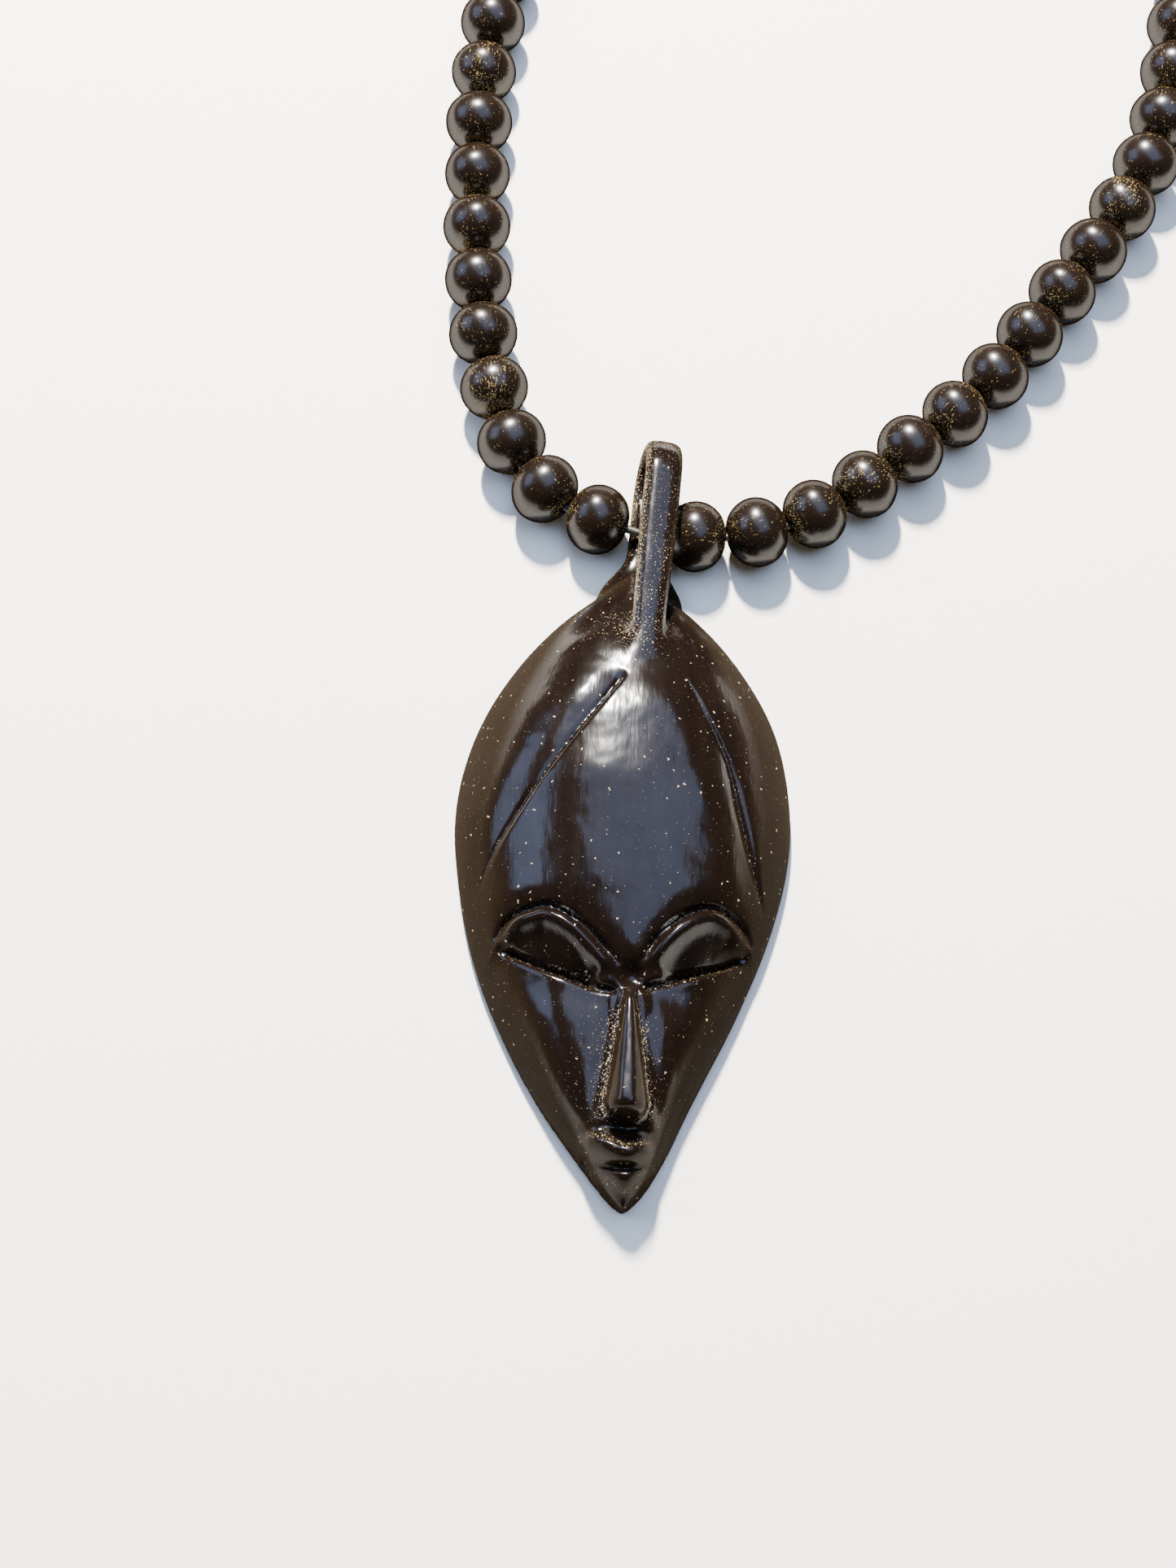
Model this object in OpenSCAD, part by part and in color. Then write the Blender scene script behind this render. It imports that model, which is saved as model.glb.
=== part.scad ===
// Short necklace of round wooden beads with a carved mask pendant, laid out flat with the face up.
// The origin is on the pendant's flat back, below its widest line.
// +Y runs from the chin to the strand and +Z is up.

/* [Beads] */
// Diameter across the bore
bead_d = 8; // [6.5:0.1:10]
// Length along the bore
bead_len = 7; // [5.5:0.1:9]
// Diameter of the bore
bore_d = 1.6; // [1.3:0.1:2.4]
// Slack between two beads on the left side
left_gap = 0.45; // [0.45:0.05:1.5]
// Slack between two beads on the right side
right_gap = 0.2; // [0.2:0.05:1.5]

/* [Cord] */
// Diameter of the stringing cord
cord_d = 1; // [0.6:0.1:1.2]
// Bare cord under the pendant's loop, between the two nearest beads
bail_gap = 4.6; // [4.6:0.1:8]
// Slack between two beads where the strand folds
fold_gap = 0.6; // [0.5:0.1:2]
// Break in the cord on each side of a fold
fold_break = 0.2; // [0.15:0.05:0.3]

/* [Mask] */
// From the widest line up to the top of the head
mask_up = 31; // [24:0.5:38]
// From the widest line down to the chin
mask_down = 42.2; // [33.2:0.2:50]
// Full width
mask_w = 36.8; // [29:0.2:44]
// Height of the rim over the flat back
rim_h = 1.6; // [1:0.1:3]
// Height of the forehead over the flat back
forehead_h = 13; // [12:0.5:16]
// How far the nose stands out of the face
nose_h = 3.6; // [2:0.1:5]

/* [Loop on the mask] */
// Place of the cord along the mask, from the widest line
cord_y = 35.5; // [35:0.5:44]
// Width of the strap along the cord
strap_w = 4.2; // [3:0.1:4.4]
// Thickness of the strap
strap_t = 2.7; // [2:0.1:3]
// Radius of the round inside end of the loop
loop_r = 2.8; // [2.6:0.1:3.4]
// Reach of the loop beyond the cord
loop_reach = 10; // [8:0.5:13]
// Sideways place of the loop on the cord
loop_x = 1.2; // [0:0.1:2]
// Lean of the loop to the right, in degrees
loop_lean = 8.5; // [0:0.5:10]
// Turn of the loop to the right, in degrees
loop_turn = 4; // [0:0.5:5]

/* [Clasp] */
// Outside diameter of a cup
cup_d = 6; // [5:0.5:8]
// Length of a cup
cup_len = 6.5; // [6:0.1:7]
// Diameter of the magnet
magnet_d = 4; // [3:0.5:4]
// Thickness of the magnet
magnet_t = 2; // [1:0.5:3]
// Bare cord between the last bead on the left and its cup
clasp_stub = 2; // [1:0.5:3]

/* [Hidden] */
$fn = 48;
function numbered(start, i) = str(start, i < 9 ? "0" : "", i + 1);

// Directions of the beads along each side in degrees, from the loop outwards: 0 is level and 90 is
// straight up, and both sides are counted the same way.
left_front = [18, 43, 68, 75, 80, 85, 87, 88, 90, 94, 98];
right_front = [0, 14, 28, 42, 42, 42, 52, 56, 55, 57, 60, 67, 74, 79, 82];
side_beads = 8;
top_beads = 7;
left_side_turn = -1;
left_top_turn = 12.5;
right_side_turn = 0.5;
right_top_turn = 13.5;
left_side = [for (i = [1 : side_beads]) last(left_front) + left_side_turn * i];
left_top = [for (i = [1 : top_beads]) last(left_side) + left_top_turn * i];
right_side = [for (i = [1 : side_beads]) last(right_front) + right_side_turn * i];
right_top = [for (i = [1 : top_beads]) last(right_side) + right_top_turn * i];

// Height of the face along its middle, from the chin to the top of the head, on a mask that reaches
// drawn_down and drawn_up from its widest line. The features below are laid out on that mask too.
drawn_down = 42;
drawn_up = 31;
ridge = [
    [-drawn_down, 4], [-40, 6.5], [-37, 8.5], [-33, 9], [-26, 9], [-19, 8.5], [-15, 10.5],
    [-9, forehead_h - 0.8], [3, forehead_h], [12, forehead_h - 1], [20, forehead_h - 3],
    [26, 6], [drawn_up, 3.5]
];
dome_fullness = 2.4;
dome_softness = 0.75;
edge_fade = 4;

// The outline runs to a point past the chin, and chin_from and beyond is rounded off.
head_fullness = 2.35;
cheek_fullness = 1.75;
cheek_taper = 0.9;
point_share = 0.968;
chin_from = 0.929;

nose_top_y = -18.5;
nose_len = 15;
nose_top_half = 1;
nose_spread = 2.2;
nose_top_share = 0.4;
nose_edge = 4;
eye_at = [7, -14.5];
eye_size = [3.4, 2];
eye_h = 1.6;
upper_lip_at = [0, -36.8];
upper_lip_size = [4, 1.1];
upper_lip_h = 1.8;
lower_lip_at = [0, -39.4];
lower_lip_size = [2.4, 1];
lower_lip_h = 1.6;

// The rows of the mask lie closer towards its two ends, by the sine of these angles.
rows = 56;
columns = 26;
chin_angle = 88.4;
head_angle = 80;
below = 1;

// The loop starts inside the head and clears the surface that it lies on.
back_lift = 0.1;
front_root_y = 15.5;
back_root_in = 3.5;

wood = "#1d1613";
cord_black = "#15120f";
brass = "#b08d4a";
steel = "#a9a9a6";

cord_z = bead_d / 2;
cord_start = [loop_x, cord_y];

// A step along one side: side is -1 on the left and 1 on the right.
function way(deg, side) = [side * cos(deg), sin(deg)];
function walk(from, degs, side, step, i = 0) =
    i == len(degs)
    ? [from]
    : concat([from], walk(from + step * way(degs[i], side), degs, side, step, i + 1));
function last(list) = list[len(list) - 1];

// The strand bends at the middle of each gap, and a fold has a wider gap than the rest.
function next_start(points, deg_in, deg_out, side, gap) =
    last(points) + (fold_gap - gap) / 2 * (way(deg_in, side) + way(deg_out, side));
function fold_point(points, deg_in, side, gap) =
    last(points) + (fold_gap - gap) / 2 * way(deg_in, side);

// Beads wider than those that the turns are laid out for get more room, so that they clear at a turn.
laid_out_bead = 8;
function sharpest(degs) = max([for (i = [1 : len(degs) - 1]) abs(degs[i] - degs[i - 1])]);
function turn_room(degs) = max(0, bead_d - laid_out_bead) * tan(sharpest(degs) / 2);
left_step = bead_len + left_gap + turn_room(left_front);
right_step = bead_len + right_gap + turn_room(right_front);
left_a = walk(
    cord_start + (bail_gap - left_gap) / 2 * way(left_front[0], -1),
    left_front, -1, left_step
);
left_b = walk(
    next_start(left_a, last(left_front), left_side[0], -1, left_gap),
    left_side, -1, left_step
);
left_c = walk(
    next_start(left_b, last(left_side), left_top[0], -1, left_gap),
    left_top, -1, left_step
);
right_a = walk(
    cord_start + (bail_gap - right_gap) / 2 * way(right_front[0], 1),
    right_front, 1, right_step
);
right_b = walk(
    next_start(right_a, last(right_front), right_side[0], 1, right_gap),
    right_side, 1, right_step
);
right_c = walk(
    next_start(right_b, last(right_side), right_top[0], 1, right_gap),
    right_top, 1, right_step
);
left_fold_1 = fold_point(left_a, last(left_front), -1, left_gap);
left_fold_2 = fold_point(left_b, last(left_side), -1, left_gap);
right_fold_1 = fold_point(right_a, last(right_front), 1, right_gap);
right_fold_2 = fold_point(right_b, last(right_side), 1, right_gap);

// The clasp lies in line with the last bead of the left side.
socket_depth = 2;
socket_clear = 0.1;
clasp_way = way(last(left_top), -1);
clasp_deg = atan2(clasp_way[1], clasp_way[0]);
clasp_back = last(left_c) + clasp_stub * clasp_way;
clasp_face = clasp_back + cup_len * clasp_way;
face_gap = 0.1;
clasp_face_right = clasp_face + face_gap * clasp_way;
clasp_back_right = clasp_face_right + cup_len * clasp_way;

// One bead, bored along X. Its outline is a round of half its length, set off from the bore.
module bead_shape() {
    bulge = (bead_d - bead_len) / 2;
    rotate([0, 90, 0])
        rotate_extrude()
            difference() {
                intersection() {
                    translate([bulge, 0])
                        circle(d = bead_len);
                    translate([0, -bead_d])
                        square([bead_d, 2 * bead_d]);
                }
                translate([0, -bead_d])
                    square([bore_d / 2, 2 * bead_d]);
            }
}

module bead(points, degs, side, i) {
    middle = (points[i] + points[i + 1]) / 2;
    color(wood)
        translate([middle[0], middle[1], cord_z])
            rotate([0, 0, side > 0 ? degs[i] : 180 - degs[i]])
                bead_shape();
}

module bead_row(points, degs, side) {
    for (i = [0 : len(degs) - 1])
        bead(points, degs, side, i);
}

// A tube of eight sides along a flat route, with a mitred ring at each bend.
module tube(points) {
    sides = 8;
    count = len(points);
    steps = [for (i = [0 : count - 2]) (points[i + 1] - points[i]) / norm(points[i + 1] - points[i])];
    bends = [for (i = [0 : count - 1])
        let (before = steps[max(0, i - 1)], after = steps[min(count - 2, i)], sum = before + after)
        sum / (sum * before)];
    rings = [for (i = [0 : count - 1]) for (j = [0 : sides - 1])
        let (a = 360 * (j + 0.5) / sides, out = cord_d / 2 * cos(a), up = cord_d / 2 * sin(a))
        [points[i][0] - bends[i][1] * out, points[i][1] + bends[i][0] * out, cord_z + up]];
    walls = [for (i = [0 : count - 2]) for (j = [0 : sides - 1])
        let (k = (j + 1) % sides)
        each [
            [i * sides + j, (i + 1) * sides + j, i * sides + k],
            [i * sides + k, (i + 1) * sides + j, (i + 1) * sides + k]
        ]];
    start_cap = [[for (j = [0 : sides - 1]) j]];
    end_cap = [[for (j = [sides - 1 : -1 : 0]) (count - 1) * sides + j]];
    color(cord_black)
        polyhedron(points = rings, faces = concat(walls, start_cap, end_cap), convexity = 6);
}

function inner(points) = [for (i = [1 : len(points) - 2]) points[i]];
function reversed(points) = [for (i = [len(points) - 1 : -1 : 0]) points[i]];

module cord_front() {
    tube(concat(
        [left_fold_1 - fold_break * way(last(left_front), -1)],
        reversed(inner(left_a)),
        [left_a[0], cord_start, right_a[0]],
        inner(right_a),
        [right_fold_1 - fold_break * way(last(right_front), 1)]
    ));
}

module cord_left_side() {
    tube(concat(
        [left_fold_1 + fold_break * way(left_side[0], -1)],
        inner(left_b),
        [left_fold_2 - fold_break * way(last(left_side), -1)]
    ));
}

module cord_left_top() {
    tube(concat(
        [left_fold_2 + fold_break * way(left_top[0], -1)],
        inner(left_c),
        [clasp_back + socket_depth * clasp_way]
    ));
}

module cord_right_side() {
    tube(concat(
        [right_fold_1 + fold_break * way(right_side[0], 1)],
        inner(right_b),
        [right_fold_2 - fold_break * way(last(right_side), 1)]
    ));
}

module cord_right_top() {
    tube(concat(
        [right_fold_2 + fold_break * way(right_top[0], 1)],
        inner(right_c),
        [last(right_c), clasp_back_right, clasp_back_right - socket_depth * clasp_way]
    ));
}

// Half the width of the mask at a share of the way from its widest line to an end.
function upper_half(t) = mask_w / 2 * (1 - pow(t, head_fullness));
function chin_round(t) = sqrt(1 - pow(max(0, (t - chin_from) / (1 - chin_from)), 2));
function lower_half(t) =
    mask_w / 2 * pow(1 - pow(t * point_share, cheek_fullness), cheek_taper) * chin_round(t);
function half_width(y) = y > 0 ? upper_half(y / mask_up) : lower_half(-y / mask_down);
function bump(x, y, at, wide, high) =
    high * exp(-pow((x - at[0]) / wide[0], 2) - pow((y - at[1]) / wide[1], 2));
function along(y) = y > 0 ? y * drawn_up / mask_up : y * drawn_down / mask_down;

// Raised features: the nose, the brows over closed eyes and the lips.
function nose(x, y) =
    let (t = (nose_top_y - y) / nose_len, wide = nose_top_half + nose_spread * t)
    t < 0 || t > 1
    ? 0
    : nose_h * (nose_top_share + (1 - nose_top_share) * t) * exp(-pow(x / wide, nose_edge));
function eye(x, y) = bump(x, y, eye_at, eye_size, eye_h);
function lips(x, y) =
    bump(x, y, upper_lip_at, upper_lip_size, upper_lip_h)
    + bump(x, y, lower_lip_at, lower_lip_size, lower_lip_h);
function relief(x, y) = nose(x, y) + eye(abs(x), y) + lips(x, y);
function surface_z(u, y) =
    let (dome = pow(max(0, 1 - pow(abs(u), dome_fullness)), dome_softness), s = along(y))
    rim_h + (lookup(s, ridge) - rim_h) * dome
    + relief(u * half_width(y), s) * min(1, edge_fade * (1 - abs(u)));

module mask_solid() {
    ys = [for (i = [0 : rows - 1])
        let (a = -chin_angle + i * (chin_angle + head_angle) / (rows - 1))
        (a < 0 ? mask_down : mask_up) * sin(a)];
    us = [for (j = [0 : columns - 1]) -cos(180 * j / (columns - 1))];
    top = [for (y = ys) for (u = us) [u * half_width(y), y, surface_z(u, y)]];
    base = [for (y = ys) each [[-half_width(y), y, -below], [half_width(y), y, -below]]];
    b = rows * columns;
    skin = [for (i = [0 : rows - 2]) for (j = [0 : columns - 2])
        let (p = i * columns + j, q = p + columns)
        each [[p, q, p + 1], [p + 1, q, q + 1]]];
    left_wall = [for (i = [0 : rows - 2])
        let (p = i * columns, q = p + columns, m = b + 2 * i)
        each [[p, m, q], [q, m, m + 2]]];
    right_wall = [for (i = [0 : rows - 2])
        let (p = i * columns + columns - 1, q = p + columns, m = b + 2 * i + 1)
        each [[p, q, m], [q, m + 2, m]]];
    floor_faces = [for (i = [0 : rows - 2])
        let (m = b + 2 * i)
        each [[m, m + 1, m + 2], [m + 1, m + 3, m + 2]]];
    chin_end = concat(
        [for (j = [0 : columns - 2]) [b, j, j + 1]],
        [[b, columns - 1, b + 1]]
    );
    e = (rows - 1) * columns;
    m = b + 2 * (rows - 1);
    head_end = concat(
        [for (j = [0 : columns - 2]) [m, e + j + 1, e + j]],
        [[m, m + 1, e + columns - 1]]
    );
    polyhedron(
        points = concat(top, base),
        faces = concat(skin, left_wall, right_wall, floor_faces, chin_end, head_end),
        convexity = 6
    );
}

// The loop that the cord runs through: two straps and a round end, carved in one with the mask.
module strap_section() {
    r = strap_t / 2;
    translate([-(strap_w / 2 - r), 0])
        circle(r = r);
    translate([strap_w / 2 - r, 0])
        circle(r = r);
    square([strap_w - strap_t, strap_t], center = true);
}

module loop() {
    middle_r = loop_r + strap_t / 2;
    middle_z = back_lift + loop_r + strap_t;
    end_y = loop_reach - loop_r - strap_t;
    front_run = cord_y + end_y - front_root_y;
    back_run = cord_y + end_y - mask_up + back_root_in;
    translate([loop_x, cord_y, 0])
        rotate([0, loop_lean, -loop_turn])
            translate([0, end_y, middle_z]) {
                rotate([0, 90, 0])
                    rotate_extrude(angle = 180)
                        translate([middle_r, 0])
                            rotate([0, 0, 90])
                                strap_section();
                translate([0, 0, middle_r])
                    rotate([90, 0, 0])
                        linear_extrude(front_run)
                            strap_section();
                translate([0, 0, -middle_r])
                    rotate([90, 0, 0])
                        linear_extrude(back_run)
                            strap_section();
            }
}

module pendant() {
    slab = 5;
    color(wood)
        difference() {
            union() {
                mask_solid();
                loop();
            }
            translate([-mask_w, -2 * mask_down, -slab])
                cube([2 * mask_w, 4 * mask_down, slab]);
        }
}

// A cup of the clasp, with its back at the start and its open face at cup_len along X.
module cup_shape() {
    round_r = 1.5;
    rotate([0, 90, 0])
        rotate_extrude()
            difference() {
                union() {
                    square([cup_d / 2 - round_r, cup_len]);
                    translate([0, round_r])
                        square([cup_d / 2, cup_len - round_r]);
                    translate([cup_d / 2 - round_r, round_r])
                        circle(r = round_r);
                }
                translate([0, -1])
                    square([cord_d / 2 + socket_clear, socket_depth + 1]);
                translate([0, cup_len - magnet_t])
                    square([magnet_d / 2, magnet_t + 1]);
            }
}

module clasp_cup_left() {
    color(brass)
        translate([clasp_back[0], clasp_back[1], cord_z])
            rotate([0, 0, clasp_deg])
                cup_shape();
}

module clasp_cup_right() {
    color(brass)
        translate([clasp_back_right[0], clasp_back_right[1], cord_z])
            rotate([0, 0, clasp_deg + 180])
                cup_shape();
}

module clasp_magnet_left() {
    color(steel)
        translate([clasp_face[0], clasp_face[1], cord_z])
            rotate([0, 0, clasp_deg])
                rotate([0, -90, 0])
                    cylinder(d = magnet_d, h = magnet_t);
}

module clasp_magnet_right() {
    color(steel)
        translate([clasp_face_right[0], clasp_face_right[1], cord_z])
            rotate([0, 0, clasp_deg])
                rotate([0, 90, 0])
                    cylinder(d = magnet_d, h = magnet_t);
}

pendant();
for (i = [0 : len(left_front) - 1])
    bead(left_a, left_front, -1, i);
for (i = [0 : len(right_front) - 1])
    bead(right_a, right_front, 1, i);
bead_row(left_b, left_side, -1);  // beads_left_side
bead_row(left_c, left_top, -1);  // beads_left_top
bead_row(right_b, right_side, 1);  // beads_right_side
bead_row(right_c, right_top, 1);  // beads_right_top
cord_front();
cord_left_side();
cord_left_top();
cord_right_side();
cord_right_top();
clasp_cup_left();
clasp_cup_right();
clasp_magnet_left();
clasp_magnet_right();
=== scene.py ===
import math
import bpy
import numpy as np
from mathutils import Matrix, Vector, noise


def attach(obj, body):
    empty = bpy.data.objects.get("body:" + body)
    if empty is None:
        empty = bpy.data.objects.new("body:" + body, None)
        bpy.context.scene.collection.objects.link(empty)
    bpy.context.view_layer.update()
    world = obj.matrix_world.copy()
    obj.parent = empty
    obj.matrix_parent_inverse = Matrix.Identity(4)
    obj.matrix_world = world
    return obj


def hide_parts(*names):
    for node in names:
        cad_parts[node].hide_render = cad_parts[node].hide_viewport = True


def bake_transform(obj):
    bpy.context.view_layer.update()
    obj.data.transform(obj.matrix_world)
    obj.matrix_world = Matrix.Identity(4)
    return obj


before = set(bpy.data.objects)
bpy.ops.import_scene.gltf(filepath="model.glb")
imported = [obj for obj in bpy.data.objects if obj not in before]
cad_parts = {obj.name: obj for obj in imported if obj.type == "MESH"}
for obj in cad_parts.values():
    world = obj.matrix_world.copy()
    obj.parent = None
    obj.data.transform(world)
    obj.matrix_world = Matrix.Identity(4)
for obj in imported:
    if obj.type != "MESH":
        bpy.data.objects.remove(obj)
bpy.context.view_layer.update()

mm = 0.001

# The view: the necklace lies flat and is seen from the chin's end, from high up, with a lens a little
# longer than normal. The camera is rolled by a hair, as one held by hand is.
aim = Vector((-4.4, 4.7, 4.0)) * mm
height_angle = math.radians(70)
roll = math.radians(1.96)
camera_away = 266 * mm
back = Vector((0, -math.cos(height_angle), math.sin(height_angle)))
level_up = Vector((0, math.sin(height_angle), math.cos(height_angle)))
level_right = Vector((1, 0, 0))
right = level_right * math.cos(roll) + level_up * math.sin(roll)
up = level_up * math.cos(roll) - level_right * math.sin(roll)
camera = bpy.data.objects.new("camera", bpy.data.cameras.new("camera"))
camera.data.lens = 55
camera.data.sensor_width = 36
camera.data.clip_start = 0.01
place = Matrix((right, up, back)).transposed().to_4x4()
place.translation = aim + back * camera_away
camera.matrix_world = place
bpy.context.scene.collection.objects.link(camera)
bpy.context.scene.camera = camera

# The stringing cord: one waxed black cord of three plies, 1 mm thick, that runs through every bead and
# the mask's loop. It is made in five lengths, and those of the arms turn a corner at the strand's folds.
bead_long = 7.0
cord_height = 4.0
cord_thick = 1.0
left_slack = 0.45
right_slack = 0.2
fold_slack = 0.6
bare_under_loop = 4.6
loop_place = np.array([1.2, 35.5])
left_front = [18, 43, 68, 75, 80, 85, 87, 88, 90, 94, 98]
right_front = [0, 14, 28, 42, 42, 42, 52, 56, 55, 57, 60, 67, 74, 79, 82]
left_side = [98 - i for i in range(1, 9)]
left_top = [90 + 12.5 * i for i in range(1, 8)]
right_side = [82 + 0.5 * i for i in range(1, 9)]
right_top = [86 + 13.5 * i for i in range(1, 8)]


def heading(degrees, side):
    return np.array([side * math.cos(math.radians(degrees)), math.sin(math.radians(degrees))])


def walk(start, degrees, side, slack):
    route = [start]
    for turn in degrees:
        route.append(route[-1] + (bead_long + slack) * heading(turn, side))
    return route


def fold_after(route, degrees, side, slack):
    return route[-1] + (fold_slack - slack) / 2 * heading(degrees[-1], side)


def walk_on(fold, degrees, side, slack):
    return walk(fold + (fold_slack - slack) / 2 * heading(degrees[0], side), degrees, side, slack)


left_a = walk(loop_place + (bare_under_loop - left_slack) / 2 * heading(left_front[0], -1),
              left_front, -1, left_slack)
left_fold_1 = fold_after(left_a, left_front, -1, left_slack)
left_b = walk_on(left_fold_1, left_side, -1, left_slack)
left_fold_2 = fold_after(left_b, left_side, -1, left_slack)
left_c = walk_on(left_fold_2, left_top, -1, left_slack)
right_a = walk(loop_place + (bare_under_loop - right_slack) / 2 * heading(right_front[0], 1),
               right_front, 1, right_slack)
right_fold_1 = fold_after(right_a, right_front, 1, right_slack)
right_b = walk_on(right_fold_1, right_side, 1, right_slack)
right_fold_2 = fold_after(right_b, right_side, 1, right_slack)
right_c = walk_on(right_fold_2, right_top, 1, right_slack)
clasp_way = heading(left_top[-1], -1)
cup_long = 6.5
cord_stub = 2.0
face_gap = 0.1
cord_in_cup = 2.0
clasp_back_left = left_c[-1] + cord_stub * clasp_way
clasp_face_left = clasp_back_left + cup_long * clasp_way
clasp_face_right = clasp_face_left + face_gap * clasp_way
clasp_back_right = clasp_face_right + cup_long * clasp_way


def linear(hex_colour):
    """An sRGB hex colour as the linear colour that a shader takes."""
    parts = [int(hex_colour[i:i + 2], 16) / 255 for i in (1, 3, 5)]
    return (*[c / 12.92 if c <= 0.04045 else ((c + 0.055) / 1.055) ** 2.4 for c in parts], 1)


def node(material, kind, values=None, **settings):
    """Adds a node to a material, with its settings, its values and its links."""
    made = material.node_tree.nodes.new(kind)
    for name, value in settings.items():
        setattr(made, name, value)
    for socket, value in (values or {}).items():
        if isinstance(value, bpy.types.NodeSocket):
            material.node_tree.links.new(value, made.inputs[socket])
        else:
            made.inputs[socket].default_value = value
    return made


def new_material(name):
    material = bpy.data.materials.new(name)
    material.use_nodes = True
    return material, material.node_tree.nodes["Principled BSDF"]


def link(material, source, shader, socket):
    material.node_tree.links.new(source, shader.inputs[socket])


def mesh_piece(name, corners, faces, material, smooth_below=40):
    """A piece from corners in millimetres, which it keeps in metres."""
    mesh = bpy.data.meshes.new(name)
    mesh.from_pydata((np.asarray(corners) * mm).tolist(), [], [list(map(int, f)) for f in faces])
    mesh.update()
    piece = bpy.data.objects.new(name, mesh)
    bpy.context.scene.collection.objects.link(piece)
    mesh.materials.append(material)
    bpy.ops.object.select_all(action="DESELECT")
    piece.select_set(True)
    bpy.context.view_layer.objects.active = piece
    bpy.ops.object.shade_smooth_by_angle(angle=math.radians(smooth_below))
    return piece


# Waxed polyester cord: near-black fibre under wax, so a soft low gloss, with dust caught between plies.
cord_look, shader = new_material("waxed_black_cord")
where = node(cord_look, "ShaderNodeTexCoord").outputs["Object"]
fibre = node(cord_look, "ShaderNodeTexNoise", {"Vector": where, "Scale": 1 / (0.25 * mm), "Detail": 3})
tint = node(cord_look, "ShaderNodeMix", {"Factor": fibre.outputs["Fac"], "A": linear("#0d0a08"),
            "B": linear("#2b241c")}, data_type="RGBA")
shader.inputs["Roughness"].default_value = 0.5
bump = node(cord_look, "ShaderNodeBump", {"Height": fibre.outputs["Fac"], "Strength": 0.4,
            "Distance": 0.05 * mm})
link(cord_look, tint.outputs["Result"], shader, "Base Color")
link(cord_look, bump.outputs["Normal"], shader, "Normal")

ring_sides = 18
ring_step = 0.4
ply_turn = 2.6
ply_depth = 0.13


def cord_length(name, route):
    """A three-ply cord along a flat route, with the corners of the route eased."""
    route = np.array(route)
    runs = np.hypot(*np.diff(route, axis=0).T)
    total = runs.sum()
    marks = np.linspace(0, total, max(8, int(total / ring_step)))
    stops = np.concatenate([[0], np.cumsum(runs)])
    line = np.stack([np.interp(marks, stops, route[:, i]) for i in (0, 1)], 1)
    for _ in range(6):
        line[1:-1] = (line[:-2] + 2 * line[1:-1] + line[2:]) / 4
    way = np.gradient(line, axis=0)
    way /= np.hypot(*way.T)[:, None]
    angles = np.arange(ring_sides) * math.tau / ring_sides
    corners = []
    for at, (x, y), (tx, ty) in zip(marks, line, way):
        ply = np.abs(np.cos(1.5 * (angles - math.tau * at / ply_turn)))
        radius = cord_thick / 2 * (1 - ply_depth * (1 - ply))
        for a, r in zip(angles, radius):
            corners.append((x + ty * r * math.cos(a), y - tx * r * math.cos(a),
                            cord_height + r * math.sin(a)))
    rings = len(line)
    faces = [(i * ring_sides + j, i * ring_sides + (j + 1) % ring_sides,
              (i + 1) * ring_sides + (j + 1) % ring_sides, (i + 1) * ring_sides + j)
             for i in range(rings - 1) for j in range(ring_sides)]
    faces.append(range(ring_sides - 1, -1, -1))
    faces.append(range((rings - 1) * ring_sides, rings * ring_sides))
    piece = mesh_piece(name, corners, faces, cord_look, 60)
    return piece


# Each length ends out of sight inside a bead or a clasp cup, and an arm's length bends within the gap at
# its fold.
hidden_end = 3.0
front_cord = cord_length("stringing_cord_front", [
    left_fold_1 - hidden_end * heading(left_front[-1], -1), *left_a[-2:0:-1], left_a[0], loop_place,
    right_a[0], *right_a[1:-1], right_fold_1 - hidden_end * heading(right_front[-1], 1)])
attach(front_cord, "strand")
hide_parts("cord_front")
for name, node_name, before, after, fold, degrees_in, degrees_out, side, route in (
    ("stringing_cord_left_side", "cord_left_side", "strand", "arm_left", left_fold_1,
     left_front, left_side, -1, left_b[1:-1] + [left_fold_2 - hidden_end * heading(left_side[-1], -1)]),
    ("stringing_cord_left_top", "cord_left_top", "arm_left", "arm_left_top", left_fold_2,
     left_side, left_top, -1, left_c[1:] + [clasp_back_left + cord_in_cup * clasp_way]),
    ("stringing_cord_right_side", "cord_right_side", "strand", "arm_right", right_fold_1,
     right_front, right_side, 1, right_b[1:-1] + [right_fold_2 - hidden_end * heading(right_side[-1], 1)]),
    ("stringing_cord_right_top", "cord_right_top", "arm_right", "arm_right_top", right_fold_2,
     right_side, right_top, 1,
     right_c[1:] + [clasp_back_right, clasp_back_right - cord_in_cup * clasp_way]),
):
    way_in = heading(degrees_in[-1], side)
    arm_cord = cord_length(name, [fold - hidden_end * way_in, fold, *route])
    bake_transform(arm_cord)
    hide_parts(node_name)

# The pendant: one mask with its hanging loop, carved from a block of ebony, cut with a knife, sanded,
# blackened and waxed. The head's round and the loop's strap are shaped and joined, then the face is cut.
head_up = 31.0
head_down = 42.2
head_wide = 36.8
chin_from = 0.929
crown_power = 2.35
jaw_power = 1.75
jaw_full = 0.9
jaw_reach = 0.968
rim_thick = 1.6
grain = 0.26
middle = 1.1
ridge_places = [-42, -40, -37, -33, -26, -20, -15, -9, 3, 12, 20, 26, 31]
ridge_heights = [3.6, 6.2, 8.2, 9.2, 9.6, 10.0, 11.2, 12.3, 13.0, 12.2, 10.3, 6.9, 3.6]
ridge_fine = np.linspace(-44, 33, 400)
crook_places = [-43, -40, -36, -32, -27, -18, -14, -6, 4, 13, 31]
crook_sizes = [0.75, 0.65, 0.2, -0.45, -0.8, -0.85, -0.72, -0.42, -0.35, -0.05, 0.15]
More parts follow.
